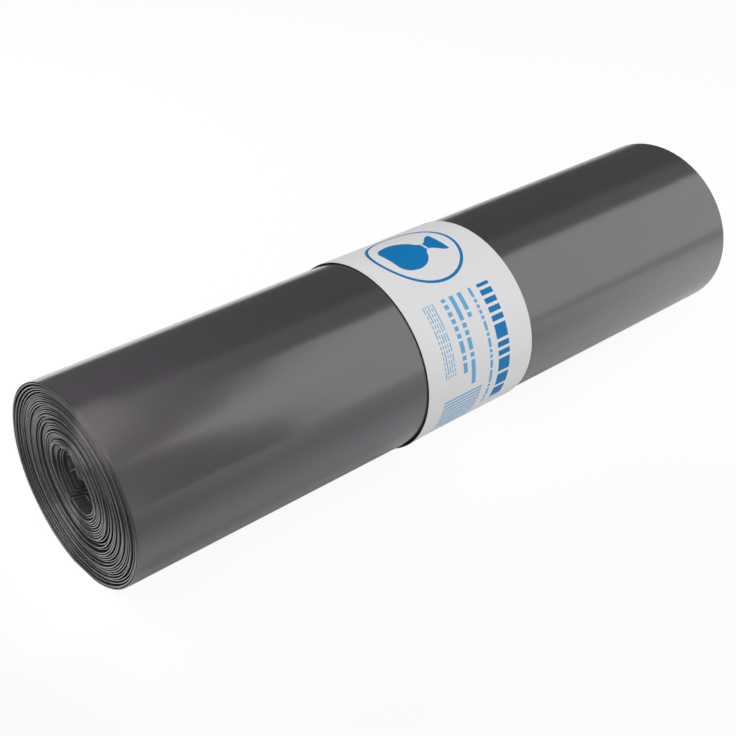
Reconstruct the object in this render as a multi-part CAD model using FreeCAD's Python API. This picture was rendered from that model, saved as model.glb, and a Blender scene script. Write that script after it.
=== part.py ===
import FreeCAD, Part
import math
import os

# A roll of refuse sacks lying on its side, with a printed paper band round its middle.
# X runs along the winding axis from the near end to the far end, and Z is up. The origin is on the
# resting plane, below the middle of the roll. Lengths are millimetres. Angles are degrees about the
# winding axis, counted from the front side, which faces -Y, upwards over the top.

# The roll as a whole
roll_length = 287.5  # a sack 575 mm wide, folded once
roll_radius = 35.4  # mean of width and height, under the last turn
roll_ovality = 0.028  # the share by which the soft roll is wider and lower than round
press_depth = 0.45  # how far the film is pressed flat where the roll rests

# The hollow that the winding mandrel leaves
hollow_radius = 10.0
hollow_forward = -0.6  # how far the hollow lies from the middle, towards the front
hollow_rise = 0.8  # and how far above it

# The wound web: one solid strip in a spiral, each turn standing for several turns of folded film
web_thickness = 1.04
web_gap = 0.22  # air between one turn and the next
free_edge_thickness = 0.15  # four layers of film at the outer free edge
free_edge_angle = 215.0  # the outer free edge lies low on the back
arcs_per_turn = 6

# How the turns' edges lie at the two ends
dish_depth = 0.6  # the middle turns lie this far inside the outermost ones
dish_turns = 6  # the dish deepens over this many turns
core_turns = 5  # the innermost turns slip inwards one by one
near_core_step = 1.3
far_core_step = 0.4

# The paper band
band_width = 51.6
paper_thickness = 0.2
band_clearance = 0.3  # the band is a loose sleeve
lap_length = 15.0  # the glued overlap of the paper
lap_angle = 200.0  # the middle of the overlap, on the back

web_pitch = web_thickness + web_gap
last_turn_growth = web_gap + free_edge_thickness
turn_total = (roll_radius - web_thickness - hollow_radius) / web_pitch + 1
whole_turns = math.ceil(turn_total)
roll_half_height = roll_radius * (1 - roll_ovality)
roll_flat_height = paper_thickness  # the roll rests on the paper, and the paper on the ground
axis_height = roll_flat_height + roll_half_height - press_depth
band_inner_radius = roll_radius + last_turn_growth + band_clearance
band_outer_radius = band_inner_radius + paper_thickness


def section_point(x, radius, angle):
    """A point of the cross-section: the outside is oval, and the hollow is round and off centre."""
    outward = (radius - hollow_radius) / (roll_radius - hollow_radius)
    front = radius * (1 + roll_ovality * outward) * math.cos(math.radians(angle))
    up = radius * (1 - roll_ovality * outward) * math.sin(math.radians(angle))
    front += hollow_forward * (1 - outward)
    up += hollow_rise * (1 - outward)
    return FreeCAD.Vector(x, -front, axis_height + up)


def arcs_along(x, radius_at, angle_at, start, end, count):
    """Arcs in a row, each through three points, as the two functions run from start to end."""
    step = (end - start) / count
    edges = []
    for number in range(count):
        places = [start + step * (number + share) for share in (0, 0.5, 1)]
        points = [section_point(x, radius_at(place), angle_at(place)) for place in places]
        edges.append(Part.Arc(*points).toShape())
    return edges


def web_angle(turn):
    """Where the web is, a number of turns in from its outer free edge."""
    return free_edge_angle - 360 * turn


def web_outer_radius(turn):
    """The web's outer side. The outermost turn thins out towards the free edge."""
    if turn < 1:
        return roll_radius + last_turn_growth * (1 - turn)
    return roll_radius - web_pitch * (turn - 1)


def web_inner_radius(turn):
    """The web's inner side, a gap above the turn under it."""
    return web_outer_radius(turn + 1) + web_gap


def strip_between(angle_at, inner_at, outer_at, start, end, count, x_start, x_end):
    """The solid between an inner and an outer row of arcs, closed by a flat face at each end."""
    outer_edges = arcs_along(x_start, outer_at, angle_at, start, end, count)
    inner_edges = arcs_along(x_start, inner_at, angle_at, start, end, count)
    ends = []
    for place in (start, end):
        inside = section_point(x_start, inner_at(place), angle_at(place))
        outside = section_point(x_start, outer_at(place), angle_at(place))
        ends.append(Part.LineSegment(inside, outside).toShape())
    wire = Part.Wire(Part.__sortEdges__(outer_edges + inner_edges + ends))
    return Part.Face(wire).extrude(FreeCAD.Vector(x_end - x_start, 0, 0))


def edge_setback(turn_number, core_step):
    """How far inside the end of the roll a turn's edge lies, counted from the outermost turn."""
    dish = dish_depth * min(1, turn_number / dish_turns)
    steps = max(0, turn_number - (whole_turns - 1 - core_turns))
    return dish + core_step * steps


def ground_cutter(height):
    """Everything under the roll up to a height, to press a form flat."""
    reach = 2 * roll_length
    corner = FreeCAD.Vector(-reach / 2, -reach / 2, height - reach)
    return Part.makeBox(reach, reach, reach, corner)


def make_bag_roll():
    """The wound web, one solid. Each turn runs between its own two edges."""
    turns = []
    for number in range(whole_turns):
        end = min(number + 1, turn_total)
        count = math.ceil(arcs_per_turn * (end - number))
        turns.append(
            strip_between(
                web_angle,
                web_inner_radius,
                web_outer_radius,
                number,
                end,
                count,
                -roll_length / 2 + edge_setback(number, near_core_step),
                roll_length / 2 - edge_setback(number, far_core_step),
            )
        )
    roll = turns[0].multiFuse(turns[1:])
    return roll.cut(ground_cutter(roll_flat_height)).Solids


def closed_prism(radius, height_of_flat):
    """A prism of the roll's oval outline at a radius, as long as the band, with a flat underside."""
    edges = arcs_along(-band_width / 2, lambda turn: radius, web_angle, 0, 1, arcs_per_turn)
    prism = Part.Face(Part.Wire(edges)).extrude(FreeCAD.Vector(band_width, 0, 0))
    return prism.cut(ground_cutter(height_of_flat))


def make_paper_band():
    """The sleeve and its glued lap, one solid."""
    sleeve = closed_prism(band_outer_radius, 0).cut(closed_prism(band_inner_radius, paper_thickness))
    half_lap = math.degrees(lap_length / 2 / band_outer_radius)
    lap = strip_between(
        lambda angle: angle,
        lambda angle: (band_inner_radius + band_outer_radius) / 2,
        lambda angle: band_outer_radius + paper_thickness,
        lap_angle - half_lap,
        lap_angle + half_lap,
        1,
        -band_width / 2,
        band_width / 2,
    )
    return sleeve.fuse(lap).Solids


def main():
    os.makedirs("parts", exist_ok=True)
    for name, solids in (("bag_roll", make_bag_roll()), ("paper_band", make_paper_band())):
        print(name, "solids", len(solids), "valid", solids[0].isValid(), "volume", round(solids[0].Volume))
        solids[0].exportStep("parts/" + name + ".step")


main()
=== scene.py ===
import math

import bpy
import numpy as np
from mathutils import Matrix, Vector


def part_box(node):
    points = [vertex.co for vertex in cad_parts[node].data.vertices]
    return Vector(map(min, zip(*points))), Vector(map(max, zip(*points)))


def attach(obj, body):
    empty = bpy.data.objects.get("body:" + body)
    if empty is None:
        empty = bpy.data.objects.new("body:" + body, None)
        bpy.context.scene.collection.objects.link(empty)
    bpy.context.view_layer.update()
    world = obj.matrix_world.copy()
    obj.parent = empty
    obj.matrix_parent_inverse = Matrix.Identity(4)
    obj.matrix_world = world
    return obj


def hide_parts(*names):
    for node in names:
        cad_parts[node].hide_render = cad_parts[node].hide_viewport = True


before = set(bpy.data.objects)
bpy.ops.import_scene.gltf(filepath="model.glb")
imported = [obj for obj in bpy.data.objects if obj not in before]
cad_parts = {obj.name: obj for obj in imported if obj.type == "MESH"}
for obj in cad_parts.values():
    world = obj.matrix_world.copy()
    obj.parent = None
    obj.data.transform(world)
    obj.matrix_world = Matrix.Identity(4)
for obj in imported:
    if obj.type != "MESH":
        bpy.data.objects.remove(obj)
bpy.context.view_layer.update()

# A roll of grey refuse sacks lying on its side, with a printed paper band round its middle.
# X runs along the winding axis from the near end to the far end. Angles are degrees about that axis,
# counted from the front side, which faces -Y, upwards over the top.

MM = 0.001

# Places that the frame gives
ROLL_LOW, ROLL_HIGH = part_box("bag_roll")
BAND_LOW, BAND_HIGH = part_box("paper_band")
OVALITY = 0.028
FILM_RADIUS = (ROLL_HIGH.y - ROLL_LOW.y) / 2 / (1 + OVALITY)
AXIS_HEIGHT = ROLL_HIGH.z - FILM_RADIUS * (1 - OVALITY)
NEAR_X, FAR_X = ROLL_LOW.x, ROLL_HIGH.x
FILM_FLAT = ROLL_LOW.z
PAPER = 0.2 * MM

# The winding: how many turns in from the outer free edge, and the web's outer radius there in mm.
# The outermost turns are thick bundles, and those further in are finer.
FREE_EDGE_ANGLE = 215.0
RIM_END, FINE_END, CORE_END = 5, 31, 36.42
WINDING = (
    (0, FILM_RADIUS / MM + 0.2),
    (1, FILM_RADIUS / MM),
    (RIM_END, FILM_RADIUS / MM - 3.7),
    (FINE_END, 14.6),
    (CORE_END - 0.12, 10.9),
    (CORE_END, 9.0),
)
# How many turns in, and the air's share there of the way from one turn to the next
AIR_SHARES = ((0, 0.4), (RIM_END, 0.4), (RIM_END + 2, 0.25), (FINE_END, 0.25), (FINE_END + 1, 0.32))
RINGS_PER_TURN = 72

# Crescent gaps where the slack turns part: radius in mm, middle angle, half width, opening in mm
WIDE_CRESCENTS = [
    (34.6, 150, 60, 0.3),
    (32.7, 225, 85, 0.45),
    (30.8, 215, 93, 1.9),
    (28.2, 15, 60, 0.5),
    (27.2, 200, 82, 0.7),
    (24.6, 350, 60, 0.5),
    (24.0, 217, 92, 1.5),
    (22.6, 232, 112, 1.7),
    (17.5, 35, 80, 0.5),
    (14.9, 60, 75, 0.5),
]
# This many fine crescents are drawn by chance, within these bounds
FINE_CRESCENTS = 40
FINE_RADII = (14.5, 33)
FINE_HALF_WIDTHS = (40, 120)
FINE_OPENINGS = (0.08, 0.3)
# The inner turns are pressed outwards low at the back, and bulge into the hollow high at the front:
# radius where that starts in mm, middle angle, half width, and how far the innermost ones slip in mm
BULGE_ANGLE, BULGE_HALF_WIDTH = 38, 65
SLOW_SHIFTS = ((21.5, 217, 100, -1.8), (22.0, BULGE_ANGLE, BULGE_HALF_WIDTH, 2.2))

# How far inside the end of the roll the web's edge lies: turns in, and depth in mm
NEAR_DEPTHS = (
    (0, 0),
    (4, 0),
    (6, 0.15),
    (FINE_END, 0.4),
    (FINE_END + 1, 0.6),
    (FINE_END + 2, 1.5),
    (FINE_END + 3, 2.4),
    (FINE_END + 4, 3.4),
    (CORE_END - 0.15, 4.6),
    (CORE_END - 0.1, 1.0),
    (CORE_END, 0.2),
)
FAR_DEPTHS = ((0, 0), (6, 0.15), (18, 0.4), (FINE_END, 0.6), (CORE_END, 2.6))
# The bulge takes this share of the depth away
BULGE_FILLS = 0.85
# The edges wander in and out along the web: mm, radians a turn, and radians at the start
EDGE_WAVES = ((0.2, 2.3, 1.0), (0.16, 5.1, 0.0), (0.1, 11.7, 2.0))
# Beside the widest crescents the edges lie deeper, in grooves: radii in mm, half width in turns,
# middle angle and half width, depth in mm, and the share of it that stays on the other side
GROOVE_RADII = (32.7, 30.8, 27.2, 24.0, 22.6, 17.5, 14.9)
GROOVE_TURNS = 0.9
GROOVE_ANGLE, GROOVE_HALF_WIDTH = 217, 165
GROOVE_DEPTH = 0.95
GROOVE_LEAST = 0.3
# The outermost turn juts out a little past the top: mm, middle angle, half width, and how many turns
LIP, LIP_ANGLE, LIP_HALF_WIDTH, LIP_TURNS = 0.35, 130, 45, 1.2
# The core's layers end nearly in one line along the axis: where in the web they start, the line's angle
# there, how much smaller it is a turn further in, and how far the edges beside it drop inwards in mm
CORE_LAYERS_START = FINE_END + 0.3
CORE_LAYERS_END = 261.0
CORE_LAYERS_STEP = 2.2
CORE_LAYERS_DROP = 5.0
# In degrees past the line: how soon the edges are down, how long they take to rise, and where they are up
DROP_WIDTH, RISE_WIDTH, DROPPED_WIDTH = 4, 60, 140
# The middle of the innermost turns lies this far behind the roll's, and above it, in mm
HOLLOW_BACK = 1.6
HOLLOW_RISE = 1.9
# Where the roll rests, its turns are pressed flat: how deep the outermost is, over how many turns inwards
# that lessens, and how soft the flat's shoulder is
PRESS_DEPTH = 0.45 * MM
PRESS_TURNS = 3
SHOULDER = 0.04 * MM

# The band: how far the loose paper stands off the film, and where it gapes at its near edge, low at the
# front and on top: middle angle, half width, mm
STAND_OFF = 0.32
GAPES = ((-48, 45, 0.34), (116, 35, 0.15))
# The share of the band's width that gapes
GAPE_WIDTH = 0.3
# The strip's start lies over its end at the back, between two angles, with a little air under it
LAP_START, LAP_END = 188.0, 212.0
LAP_RISE = 1.3 * PAPER

# The print in mm: along the band, upwards from the middle of the front, and up from the near edge
RING_ALONG, RING_UP = 54.0, 25.0
RING_INSIDE, RING_OUTSIDE = 16.2, 17.4
# The printed sack: its height, and its half width at each height, as shares of that height
SACK_HEIGHT = 24.0
SACK_OUTLINE = (
    (0.0, 0.2),
    (0.05, 0.3),
    (0.2, 0.37),
    (0.38, 0.36),
    (0.55, 0.25),
    (0.66, 0.1),
    (0.72, 0.075),
    (0.8, 0.11),
    (0.92, 0.21),
    (1.0, 0.23),
)
TIE_LOW, TIE_HIGH = 0.69, 0.725
# Rows of dashes: bottom, top, start, end, and length of a cell
STRONG_ROW = (34.3, 40.0, -18.0, 31.0, 3.3)
PALE_ROWS = [
    (30.0, 31.3, -18.0, 31.0, 2.1),
    (24.6, 26.5, 21.5, 31.0, 2.7),
    (20.7, 22.6, -2.6, 31.0, 2.7),
    (16.8, 18.7, 3.2, 31.0, 2.7),
]
PALE_ROWS += [(12.6 - 1.1 * row, 13.05 - 1.1 * row, 4.2, 31.0, 1.9) for row in range(5)]
# A cell ends in a gap past this share of it, unless chance is below the second number
GAP_START = 0.64
GAP_CHANCE = 0.4
PANEL_LOW, PANEL_HIGH, PANEL_START, PANEL_END = 8.0, 26.6, -22.6, -5.0
STRIPE_PITCH = 1.6

# Painted light and shade on the floor, where the film mirrors it: the axis, two places on it in m, and the
# share the floor throws back at each
FLOOR_PAINTED_LIGHT_AND_SHADE = {
    "rightwards": ("X", -0.16, 0.18, 0.32, 0.9),
    "backwards": ("Y", -0.11, -0.04, 0.0, 0.3),
    "under_roll": ("Y", -0.035, -0.02, 0.0, 0.4),
    "past_near_end": ("X", -0.19, -0.155, 0.2, 1.0),
    "behind": ("Y", 0.05, 0.12, 0.0, 0.98),
    "not_far_left": ("X", -0.26, -0.2, 0.15, 1.0),
    "in_front": ("Y", -0.24, -0.13, 0.35, 0.0),
}
MOST_SHADE = 0.98
# How much of what the camera sees of the floor is plain white
FLOOR_WHITE = 0.94
# The white room is a little dimmer as the film mirrors it than as the camera sees it
ROOM_STRENGTH = 0.84
CEILING = 1.0


def linear_colour(text):
    """An sRGB hex colour as linear RGBA."""
    shares = [int(text[place : place + 2], 16) / 255 for place in (1, 3, 5)]
    linear = [share / 12.92 if share <= 0.04045 else ((share + 0.055) / 1.055) ** 2.4 for share in shares]
    return (*linear, 1)


def add_node(tree, kind, inputs=None, **settings):
    """Adds a node with its settings, and sets or links its inputs by name or number."""
    node = tree.nodes.new(kind)
    for name, value in settings.items():
        setattr(node, name, value)
    for name, value in (inputs or {}).items():
        if isinstance(value, bpy.types.NodeSocket):
            tree.links.new(value, node.inputs[name])
        else:
            node.inputs[name].default_value = value
    return node


def new_material(name):
    material = bpy.data.materials.new(name)
    material.use_nodes = True
    material.node_tree.nodes.clear()
    return material


def finish_material(material, shader):
    add_node(material.node_tree, "ShaderNodeOutputMaterial", {"Surface": shader.outputs[0]})
    return material


def joined(tree, operation, *masks):
    """Masks taken together: MAXIMUM is what any covers, MULTIPLY what all cover, and ADD their sum."""
    whole = masks[0]
    for mask in masks[1:]:
        whole = add_node(tree, "ShaderNodeMath", {0: whole, 1: mask}, operation=operation).outputs[0]
    return whole


def strip_mask(tree, place, low, high):
    """1 where a place lies between two bounds, else 0."""
    bounds = {0: place, 1: (low + high) / 2, 2: (high - low) / 2}
    return add_node(tree, "ShaderNodeMath", bounds, operation="COMPARE").outputs[0]


def film_material():
    """Blown polyethylene film from recycled granulate: dark grey, smooth and semi-glossy.

    The folded layers throw back more light than one sheet would, so the index is high. The granulate
    mottles the grey a little, the slack between turns makes slow waves, and blowing leaves a faint peel.
    """
    material = new_material("recycled_polyethylene_blown_film")
    tree = material.node_tree
    place = add_node(tree, "ShaderNodeUVMap", uv_map="web_mm").outputs[0]
    # Each pattern's size in mm, along the web and across it, and how fine its detail is
    patterns = {}
    for name, along, across, detail in (
        ("slack", 20, 75, 1.0),
        ("wave", 26, 34, 1.0),
        ("peel", 1.6, 2.4, 2.0),
        ("mottle", 14, 9, 3.0),
    ):
        scaled = add_node(tree, "ShaderNodeMapping", {"Vector": place, "Scale": (1 / along, 1 / across, 1)})
        inputs = {"Vector": scaled.outputs[0], "Scale": 1.0, "Detail": detail}
        patterns[name] = add_node(tree, "ShaderNodeTexNoise", inputs).outputs[0]
    shades = {0: patterns["mottle"], 6: linear_colour("#383539"), 7: linear_colour("#3E3B3F")}
    colour = add_node(tree, "ShaderNodeMix", shades, data_type="RGBA")
    bump = {}
    for name, height in (("slack", 0.13), ("wave", 0.22), ("peel", 0.004)):
        inputs = {"Height": patterns[name], "Strength": 1.0, "Distance": height * MM, **bump}
        bump = {"Normal": add_node(tree, "ShaderNodeBump", inputs).outputs[0]}
    shader = add_node(
        tree,
        "ShaderNodeBsdfPrincipled",
        {
            "Base Color": colour.outputs[2],
            "Roughness": 0.17,
            "IOR": 2.1,
            "Specular Tint": (1.0, 0.965, 1.0, 1),
            **bump,
        },
    )
    return finish_material(material, shader)


def sack_mask(tree, across, up):
    """A tied sack drawn in plain shapes round its own centre: body, tie and tuft."""
    share = {0: up, 1: 1 / SACK_HEIGHT, 2: 0.5}
    height = add_node(tree, "ShaderNodeMath", share, operation="MULTIPLY_ADD").outputs[0]
    outline = add_node(tree, "ShaderNodeFloatCurve", {"Value": height})
    points = outline.mapping.curves[0].points
    for place, half_width in SACK_OUTLINE[1:-1]:
        points.new(place, half_width)
    for point, (place, half_width) in zip(points, SACK_OUTLINE):
        point.location = (place, half_width)
    outline.mapping.update()
    widened = {0: outline.outputs[0], 1: SACK_HEIGHT}
    edge = add_node(tree, "ShaderNodeMath", widened, operation="MULTIPLY").outputs[0]
    beside = add_node(tree, "ShaderNodeMath", {0: across}, operation="ABSOLUTE").outputs[0]
    inside = add_node(tree, "ShaderNodeMath", {0: beside, 1: edge}, operation="LESS_THAN").outputs[0]
    tie = strip_mask(tree, height, TIE_LOW, TIE_HIGH)
    not_tie = add_node(tree, "ShaderNodeMath", {0: 1.0, 1: tie}, operation="SUBTRACT").outputs[0]
    return joined(tree, "MULTIPLY", inside, not_tie, strip_mask(tree, height, 0.0, 1.0))


def dash_mask(tree, along, up, bottom, top, start, end, pitch):
    """A row of dashes: each is one cell long, or several where no gap parts them."""
    cells = add_node(tree, "ShaderNodeMath", {0: along, 1: pitch}, operation="DIVIDE").outputs[0]
    number = add_node(tree, "ShaderNodeMath", {0: cells}, operation="FLOOR").outputs[0]
    cell = add_node(tree, "ShaderNodeCombineXYZ", {0: number, 1: top}).outputs[0]
    chance = add_node(tree, "ShaderNodeTexWhiteNoise", {"Vector": cell}, noise_dimensions="2D").outputs[0]
    share = add_node(tree, "ShaderNodeMath", {0: cells}, operation="FRACT").outputs[0]
    at_end = add_node(tree, "ShaderNodeMath", {0: share, 1: GAP_START}, operation="GREATER_THAN")
    parted = add_node(tree, "ShaderNodeMath", {0: chance, 1: GAP_CHANCE}, operation="GREATER_THAN")
    gap = joined(tree, "MULTIPLY", at_end.outputs[0], parted.outputs[0])
    dash = add_node(tree, "ShaderNodeMath", {0: 1.0, 1: gap}, operation="SUBTRACT").outputs[0]
    high = strip_mask(tree, up, bottom, top)
    wide = strip_mask(tree, along, start, end)
    return joined(tree, "MULTIPLY", high, wide, dash)


def panel_mask(tree, along, up):
    """A panel of even stripes across the band."""
    cells = add_node(tree, "ShaderNodeMath", {0: along, 1: STRIPE_PITCH}, operation="DIVIDE").outputs[0]
    share = add_node(tree, "ShaderNodeMath", {0: cells}, operation="FRACT").outputs[0]
    stripes = add_node(tree, "ShaderNodeMath", {0: share, 1: 0.5}, operation="LESS_THAN").outputs[0]
    high = strip_mask(tree, up, PANEL_LOW, PANEL_HIGH)
    wide = strip_mask(tree, along, PANEL_START, PANEL_END)
    return joined(tree, "MULTIPLY", high, wide, stripes)


def paper_material():
    """White coated label paper printed in one blue: matt, with a faint cloudiness from its fibres.

    The print is plain shapes: a sack in a ring, rows of dashes, and a striped panel. The small ones are
    in a paler tint of the blue.
    """
    material = new_material("printed_label_paper")
    tree = material.node_tree
    place = add_node(tree, "ShaderNodeUVMap", uv_map="paper_mm").outputs[0]
    split = add_node(tree, "ShaderNodeSeparateXYZ", {0: place})
    along, up = split.outputs[0], split.outputs[1]

    beside = add_node(tree, "ShaderNodeMath", {0: along, 1: RING_ALONG}, operation="SUBTRACT").outputs[0]
    above = add_node(tree, "ShaderNodeMath", {0: up, 1: RING_UP}, operation="SUBTRACT").outputs[0]
    offset = add_node(tree, "ShaderNodeCombineXYZ", {0: beside, 1: above}).outputs[0]
    from_centre = add_node(tree, "ShaderNodeVectorMath", {0: offset}, operation="LENGTH").outputs["Value"]
    ring = strip_mask(tree, from_centre, RING_INSIDE, RING_OUTSIDE)
    sack = sack_mask(tree, beside, above)
    strong = joined(tree, "MAXIMUM", sack, ring, dash_mask(tree, along, up, *STRONG_ROW))
    rows = [dash_mask(tree, along, up, *row) for row in PALE_ROWS]
    pale = joined(tree, "MAXIMUM", *rows, panel_mask(tree, along, up))

    scaled = add_node(tree, "ShaderNodeMapping", {"Vector": place, "Scale": (1 / 1.1, 1 / 1.5, 1)})
    inputs = {"Vector": scaled.outputs[0], "Scale": 1.0, "Detail": 3.0}
    fibre = add_node(tree, "ShaderNodeTexNoise", inputs).outputs[0]
    colour = {0: fibre, 6: linear_colour("#D5D5D6"), 7: linear_colour("#DDDDDE")}
    for mask, blue in ((pale, "#62A3CC"), (strong, "#0072AF")):
        under = add_node(tree, "ShaderNodeMix", colour, data_type="RGBA").outputs[2]
        colour = {0: mask, 6: under, 7: linear_colour(blue)}
    printed = add_node(tree, "ShaderNodeMix", colour, data_type="RGBA").outputs[2]
    bump = add_node(tree, "ShaderNodeBump", {"Height": fibre, "Strength": 1.0, "Distance": 0.006 * MM})
    shader = add_node(
        tree,
        "ShaderNodeBsdfPrincipled",
        {
            "Base Color": printed,
            "Roughness": 0.55,
            "Specular IOR Level": 0.25,
            "Normal": bump.outputs[0],
        },
    )
    return finish_material(material, shader)


def flat_grid(name, columns, rows):
    """A flat grid to bend: columns and rows are counted in faces, and each side runs from 0 to 1."""
    bpy.ops.object.select_all(action="DESELECT")
    bpy.ops.mesh.primitive_grid_add(x_subdivisions=columns, y_subdivisions=rows, size=1)
    piece = bpy.context.object
    piece.name = name
    piece.data.name = name
    coordinates = np.empty(len(piece.data.vertices) * 3)
    piece.data.vertices.foreach_get("co", coordinates)
    coordinates = coordinates.reshape(-1, 3) + (0.5, 0.5, 0)
    return piece, coordinates[:, 0], coordinates[:, 1]


def write_shape(piece, points):
    piece.data.vertices.foreach_set("co", points.ravel())
    piece.data.update()


def write_uv(piece, name, first, second):
    """A UV map in millimetres along the surface, one pair for each vertex."""
    uv = piece.data.uv_layers[0]
    uv.name = name
    index = np.empty(len(piece.data.loops), dtype=np.int32)
    piece.data.loops.foreach_get("vertex_index", index)
    uv.data.foreach_set("uv", np.column_stack((first[index], second[index])).ravel())


def smooth_bump(offset):
    """A smooth hump: 1 at 0, and 0 from -1 and 1 outwards."""
    inside = np.clip(1 - offset**2, 0, None)
    return inside**2


def web_angle(turn):
    return FREE_EDGE_ANGLE - 360 * turn


def web_radius(turn):
    """Radius of the web's outer side, a number of turns in from the free edge."""
    turns, radii = zip(*WINDING)
    return np.interp(turn, turns, radii) * MM


def web_thickness(turn):
    """What is left of the pitch beside the air between one turn and the next."""
    turns, shares = zip(*AIR_SHARES)
    under_last = 2 * web_radius(CORE_END - 1) - web_radius(CORE_END - 2)
    inner = np.where(turn > CORE_END - 1, under_last, web_radius(turn + 1))
    return (web_radius(turn) - inner) * (1 - np.interp(turn, turns, shares))


def angle_from(angle, middle):
    """An angle counted from another, between -180 and 180."""
    return (angle - middle + 180) % 360 - 180


def hump_at(turn, middle, half_width):
    """A smooth hump round the web: 1 at an angle, and 0 from a half width away."""
    return smooth_bump(angle_from(web_angle(turn), middle) / half_width)


def turn_at(radius):
    """How many turns in the web's outer side has a radius, given in mm."""
    turns, radii = zip(*WINDING)
    return np.interp(-radius, [-value for value in radii], turns)


def crescent_shift(turn):
    """How far the crescent gaps let the turns inside them slip towards the hollow."""
    chance = np.random.RandomState(7)
    radii = chance.uniform(*FINE_RADII, FINE_CRESCENTS)
    middles = chance.uniform(0, 360, FINE_CRESCENTS)
    half_widths = chance.uniform(*FINE_HALF_WIDTHS, FINE_CRESCENTS)
    openings = chance.uniform(*FINE_OPENINGS, FINE_CRESCENTS)
    fine_crescents = list(zip(radii, middles, half_widths, openings))
    shift = np.zeros_like(turn)
    for radius, middle, half_width, opening in WIDE_CRESCENTS + fine_crescents:
        turn_at_middle = turn + angle_from(web_angle(turn), middle) / 360
        shift += opening * MM * (turn_at_middle > turn_at(radius)) * hump_at(turn, middle, half_width)
    for radius, middle, half_width, most in SLOW_SHIFTS:
        share = np.clip((turn - turn_at(radius)) / (FINE_END - turn_at(radius)), 0, 1)
        shift += most * MM * share * hump_at(turn, middle, half_width)
    return shift


def edge_depth(turn, depths):
    """How far inside the end of the roll the web's edge lies."""
    turns, values = zip(*depths)
    depth = np.interp(turn, turns, values)
    depth *= 1 - BULGE_FILLS * hump_at(turn, BULGE_ANGLE, BULGE_HALF_WIDTH)
    wander = sum(height * np.sin(turn * rate + start) for height, rate, start in EDGE_WAVES)
    turn_at_groove = turn + angle_from(web_angle(turn), GROOVE_ANGLE) / 360
    groove = np.zeros_like(turn)
    for radius in GROOVE_RADII:
        offset = (turn_at_groove - turn_at(radius)) / GROOVE_TURNS
        groove = np.maximum(groove, np.exp(-(offset**2)))
    groove *= GROOVE_LEAST + (1 - GROOVE_LEAST) * hump_at(turn, GROOVE_ANGLE, GROOVE_HALF_WIDTH)
    lip = LIP * hump_at(turn, LIP_ANGLE, LIP_HALF_WIDTH) * (turn < LIP_TURNS)
    return (depth + wander * np.clip(turn, 0, 1) + GROOVE_DEPTH * groove - lip) * MM


def core_drop(turn):
    """Past the line where the core's layers end, their edges run far into the hollow."""
    end = CORE_LAYERS_END - CORE_LAYERS_STEP * (turn - FINE_END)
    past = (web_angle(turn) - end) % 360
    drop = np.clip(past / DROP_WIDTH, 0, 1) * np.clip((DROPPED_WIDTH - past) / RISE_WIDTH, 0, 1)
    # The first quarter turn eases it in
    return CORE_LAYERS_DROP * MM * drop * np.clip((turn - CORE_LAYERS_START) * 4, 0, 1)


def press_flat(height, flat):
    """Heights pressed up to a flat, with a soft shoulder."""
    over = (height - flat) / SHOULDER
    return flat + SHOULDER * np.logaddexp(0, over)


def section_place(radius, angle, inward=0.0):
    """Y and Z of a point of the cross-section, slightly wider than high.

    Inwards is 0 outside and 1 at the hollow, which lies off the middle.
    """
    turned = np.radians(angle)
    y = -radius * (1 + OVALITY) * np.cos(turned) + HOLLOW_BACK * MM * inward
    z = AXIS_HEIGHT + radius * (1 - OVALITY) * np.sin(turned) + HOLLOW_RISE * MM * inward
    return y, z


def web_stations():
    """The points round the flat tube of film, from the outer side's middle back to it.

    Each has the end it is counted from, the way from there, and its side: 1 outside and -1 inside.
    On a fold the way is a share of half the thickness, and elsewhere it is in mm from the fold's root.
    """
    fold_points = 4
    ways = (0.01, 0.08, 14, 60)
    angles = [math.pi / 2 - math.pi * (place + 0.5) / fold_points for place in range(fold_points)]
    outer = [("near", way, 1.0) for way in reversed(ways)]
    near_fold = [("near", -math.cos(angle), math.sin(angle)) for angle in angles]
    under = [("near", way, -1.0) for way in ways[:-1]]
    under += [("far", way, -1.0) for way in reversed(ways[:-1])]
    far_fold = [("far", -math.cos(angle), -math.sin(angle)) for angle in angles]
    over = [("far", way, 1.0) for way in ways]
    return outer + near_fold + under + far_fold + over


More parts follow.
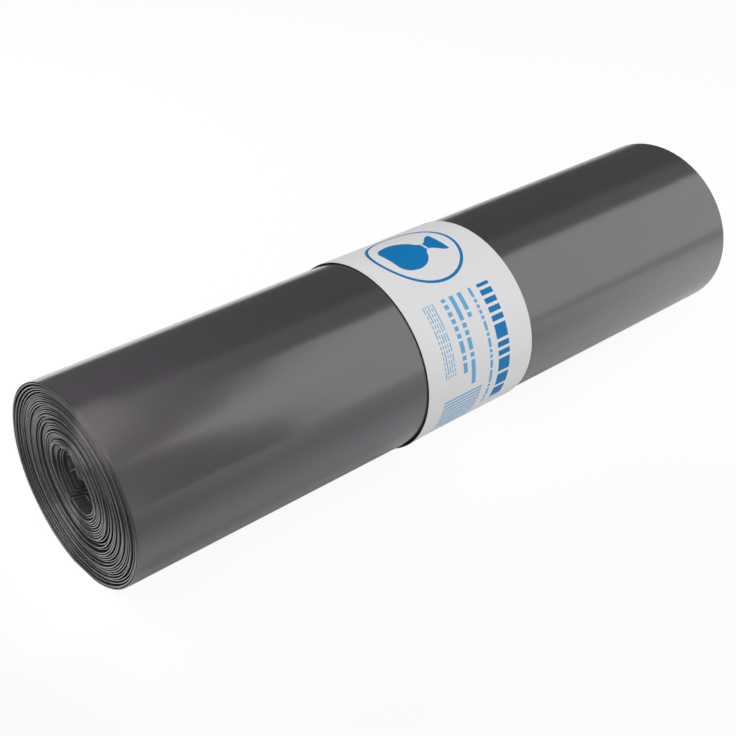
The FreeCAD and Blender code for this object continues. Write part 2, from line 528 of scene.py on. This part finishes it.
def make_film_roll():
    """The wound web: a flat tube of film, closed at its edges by folds, wound along the spiral."""
    stations = web_stations()
    piece, along, across = flat_grid("film_roll", round(CORE_END * RINGS_PER_TURN), len(stations))
    turn = along * CORE_END
    station = np.round(across * len(stations)).astype(int) % len(stations)
    from_near = np.array([end == "near" for end, _, _ in stations])[station]
    way = np.array([value for _, value, _ in stations])[station]
    side = np.array([value for _, _, value in stations])[station]
    half = web_thickness(turn) / 2
    folded = np.abs(side) < 1
    into = np.where(folded, half * (1 + way), half + way * MM)
    near_edge = NEAR_X + edge_depth(turn, NEAR_DEPTHS) + core_drop(turn)
    far_edge = FAR_X - edge_depth(turn, FAR_DEPTHS)
    x = np.where(from_near, near_edge + into, far_edge - into)
    radius = web_radius(turn) - half + side * half - crescent_shift(turn)
    inward = np.clip((turn - RIM_END) / (FINE_END - RIM_END), 0, 1)
    y, z = section_place(radius, web_angle(turn), inward)
    _, lowest = section_place(radius, 270.0, inward)
    flat = lowest + PRESS_DEPTH * np.exp(-turn / PRESS_TURNS)
    z = press_flat(z, np.maximum(flat, FILM_FLAT))
    write_shape(piece, np.column_stack((x, y, z)))
    hollow_radius = WINDING[-1][1] * MM
    length = 2 * math.pi * (FILM_RADIUS * turn - (FILM_RADIUS - hollow_radius) * turn**2 / (2 * CORE_END))
    write_uv(piece, "web_mm", length / MM, x / MM)
    # The tube's seam is merged, and its two open ends are filled
    bpy.ops.object.mode_set(mode="EDIT")
    bpy.ops.mesh.select_all(action="SELECT")
    bpy.ops.mesh.remove_doubles(threshold=0.0005 * MM)
    bpy.ops.mesh.select_all(action="DESELECT")
    bpy.ops.mesh.select_non_manifold()
    bpy.ops.mesh.edge_face_add()
    bpy.ops.mesh.select_all(action="SELECT")
    bpy.ops.mesh.normals_make_consistent(inside=False)
    bpy.ops.object.mode_set(mode="OBJECT")
    bpy.ops.object.shade_smooth()
    return piece


def make_paper_band():
    """A strip of paper bent round the roll and lapped at the back, then given its thickness."""
    around, across = 220, 26
    piece, along, up = flat_grid("printed_band", around, across)
    angle = LAP_END - (360 + LAP_END - LAP_START) * along
    x = BAND_LOW.x + (BAND_HIGH.x - BAND_LOW.x) * up
    near_share = np.clip(1 - up / GAPE_WIDTH, 0, 1) ** 2
    gapes = [most * smooth_bump(angle_from(angle, middle) / reach) for middle, reach, most in GAPES]
    stand_off = (STAND_OFF + sum(gapes) * near_share) * MM
    lapped = np.clip((angle - LAP_START) / (LAP_END - LAP_START), 0, 1)
    radius = web_radius(0) + stand_off + PAPER + lapped * LAP_RISE
    y, z = section_place(radius, angle)
    write_shape(piece, np.column_stack((x, y, press_flat(z, 0))))
    write_uv(piece, "paper_mm", np.radians(angle) * FILM_RADIUS / MM, (x - BAND_LOW.x) / MM)
    solidify = piece.modifiers.new("paper thickness", "SOLIDIFY")
    solidify.thickness = PAPER
    solidify.offset = -1
    bpy.ops.object.modifier_apply(modifier=solidify.name)
    bpy.ops.object.shade_smooth_by_angle(angle=math.radians(40))
    return piece


def dress(piece, node, material):
    piece.data.materials.clear()
    piece.data.materials.append(material)
    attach(piece, "root")
    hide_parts(node)


def make_floor():
    """Studio paper with painted light and shade where the film mirrors it. The camera sees it nearly white,
    faintly shadowed.
    """
    bpy.ops.object.select_all(action="DESELECT")
    bpy.ops.mesh.primitive_plane_add(size=12)
    floor = bpy.context.object
    floor.name = "studio_floor"
    material = new_material("studio_paper_painted_light_and_shade")
    tree = material.node_tree
    place = add_node(tree, "ShaderNodeTexCoord").outputs["Object"]
    split = add_node(tree, "ShaderNodeSeparateXYZ", {0: place})
    shades = {}
    for name, (axis, start, end, at_start, at_end) in FLOOR_PAINTED_LIGHT_AND_SHADE.items():
        inputs = {"Value": split.outputs[axis], "From Min": start, "From Max": end}
        inputs.update({"To Min": at_start, "To Max": at_end})
        shades[name] = add_node(tree, "ShaderNodeMapRange", inputs).outputs[0]
    # Painted light and shade: the floor is lighter to the right, towards and under the roll's front edge,
    # and behind the roll, and darker beside and left of the near end
    front = joined(tree, "ADD", shades["rightwards"], shades["backwards"], shades["under_roll"])
    front = joined(tree, "MULTIPLY", front, shades["past_near_end"])
    back = joined(tree, "MULTIPLY", shades["behind"], shades["not_far_left"])
    shade = joined(tree, "MAXIMUM", front, back, shades["in_front"])
    shade = add_node(tree, "ShaderNodeMath", {0: shade, 1: MOST_SHADE}, operation="MINIMUM").outputs[0]
    colour = add_node(tree, "ShaderNodeCombineColor", {0: shade, 1: shade, 2: shade})
    diffuse = add_node(tree, "ShaderNodeBsdfDiffuse", {"Color": colour.outputs[0]})
    lit = add_node(tree, "ShaderNodeEmission", {"Color": (1, 1, 1, 1), "Strength": 1.0})
    rays = add_node(tree, "ShaderNodeLightPath")
    white = {0: rays.outputs["Is Camera Ray"], 1: FLOOR_WHITE}
    share = add_node(tree, "ShaderNodeMath", white, operation="MULTIPLY").outputs[0]
    mixed = add_node(tree, "ShaderNodeMixShader", {0: share, 1: diffuse.outputs[0], 2: lit.outputs[0]})
    floor.data.materials.append(finish_material(material, mixed))


def make_world():
    world = bpy.data.worlds.new("white_studio")
    world.use_nodes = True
    tree = world.node_tree
    tree.nodes.clear()
    rays = add_node(tree, "ShaderNodeLightPath")
    strengths = {0: rays.outputs["Is Camera Ray"], 1: 1 - ROOM_STRENGTH, 2: ROOM_STRENGTH}
    strength = add_node(tree, "ShaderNodeMath", strengths, operation="MULTIPLY_ADD").outputs[0]
    background = add_node(tree, "ShaderNodeBackground", {"Color": (1, 1, 1, 1), "Strength": strength})
    add_node(tree, "ShaderNodeOutputWorld", {"Surface": background.outputs[0]})
    bpy.context.scene.world = world


def upright(start, end, height):
    """Corners of a card that stands on the floor between two places."""
    return [(*start, 0.0), (*end, 0.0), (*end, height), (*start, height)]


def overhead(start, end):
    """Corners of a card under the ceiling between two opposite corners."""
    return [
        (start[0], start[1], CEILING),
        (end[0], start[1], CEILING),
        (end[0], end[1], CEILING),
        (start[0], end[1], CEILING),
    ]


def make_card(name, corners, material):
    """A card that shades the film, as black boards do in a studio. It isn't in the picture."""
    mesh = bpy.data.meshes.new(name)
    mesh.from_pydata(corners, [], [(0, 1, 2, 3)])
    card = bpy.data.objects.new(name, mesh)
    bpy.context.collection.objects.link(card)
    card.data.materials.append(material)
    card.visible_camera = False


def make_softbox(name, centre, target, size, radiance):
    """A rectangular softbox. Its power follows from how bright its face is to be."""
    bpy.ops.object.light_add(type="AREA", location=centre)
    lamp = bpy.context.object
    lamp.name = name
    lamp.data.shape = "RECTANGLE"
    lamp.data.size, lamp.data.size_y = size
    lamp.data.energy = math.pi * size[0] * size[1] * radiance
    lamp.rotation_euler = (Vector(target) - Vector(centre)).to_track_quat("-Z", "Y").to_euler()
    lamp.visible_camera = False
    return lamp


def make_fill(name, centre, target, size, radiance, spread=None):
    """A softbox that lights the floor or the paper, and that the film doesn't mirror."""
    lamp = make_softbox(name, centre, target, size, radiance)
    lamp.visible_glossy = False
    if spread:
        lamp.data.spread = math.radians(spread)


def card_material(name, radiance):
    material = new_material(name)
    glow = add_node(material.node_tree, "ShaderNodeEmission", {"Color": (1, 1, 1, 1), "Strength": radiance})
    return finish_material(material, glow)


def make_studio():
    """Cards shade the white room where the film mirrors dark, and softboxes light its front and top."""
    dim = card_material("dim_card", 0.1)
    grey = card_material("grey_card", 0.25)
    pale = card_material("pale_card", 0.42)
    # behind the roll, over it, and to its left
    make_card("card_back", upright((0.1, 1.0), (2.6, 1.0), 1.0), dim)
    make_card("card_top_back", overhead((0.28, 1.0), (2.6, 0.3)), dim)
    make_card("card_top", overhead((0.28, 0.3), (2.6, -0.14)), grey)
    make_card("card_left", upright((-1.1, -0.8), (-1.1, 1.0), 0.75), dim)
    make_card("card_back_left", upright((-1.1, 1.0), (0.1, 1.0), 0.9), dim)
    make_card("card_front_left", upright((-1.1, -0.8), (-0.2, -1.5), 0.75), pale)
    make_card("card_top_back_left", overhead((-1.1, 0.45), (0.28, 1.0)), dim)
    # to the left of the softboxes
    make_card("card_top_left", overhead((0.28, -0.14), (0.46, -1.0)), grey)
    make_card("card_front", upright((0.06, -0.55), (0.21, -0.55), 0.55), grey)
    # softboxes that the film mirrors
    make_softbox("softbox_top", (1.35, -0.57, 1.0), (1.35, -0.57, 0.0), (1.7, 0.86), 0.36)
    make_softbox("softbox_front", (1.35, -1.0, 0.5), (1.35, 0.0, 0.5), (1.7, 1.0), 0.36)
    make_softbox("softbox_left", (-0.7, -0.09, 1.0), (-0.3, -0.05, 0.0), (1.4, 0.32), 3.8)
    # the floor behind the near end, the floor before it, the paper's front, and the floor by the far end
    make_fill("softbox_behind", (-0.15, 0.42, 0.3), (-0.17, 0.34, 0.0), (0.4, 0.3), 3.2)
    make_fill("softbox_near_end", (-0.19, -0.005, 0.3), (-0.162, 0.0, 0.0), (0.1, 0.1), 0.95, 50)
    make_fill("fill_front", (-0.4, -1.2, 0.32), (0.0, 0.0, 0.03), (0.8, 0.6), 2.1)
    make_fill("softbox_far_end", (0.27, -0.3, 0.33), (0.22, -0.06, 0.0), (0.16, 0.16), 0.9, 48)


def make_camera():
    """The photograph's view: 64 mm lens, 42 cm from the near end's middle, looking down by 32 degrees."""
    from_near_middle = Vector((-147.2, -306.7, 247.1)) * MM
    bpy.ops.object.camera_add(location=Vector((NEAR_X, 0, AXIS_HEIGHT)) + from_near_middle)
    camera = bpy.context.object
    camera.data.lens = 64.15
    camera.data.sensor_width = 36
    camera.data.clip_start = 0.02
    camera.rotation_euler = (math.radians(90 - 31.86), 0, math.radians(-41.35))
    bpy.context.scene.camera = camera


def main():
    bpy.context.scene.view_settings.view_transform = "Standard"
    make_camera()
    make_world()
    make_floor()
    make_studio()
    dress(make_film_roll(), "bag_roll", film_material())
    dress(make_paper_band(), "paper_band", paper_material())


main()
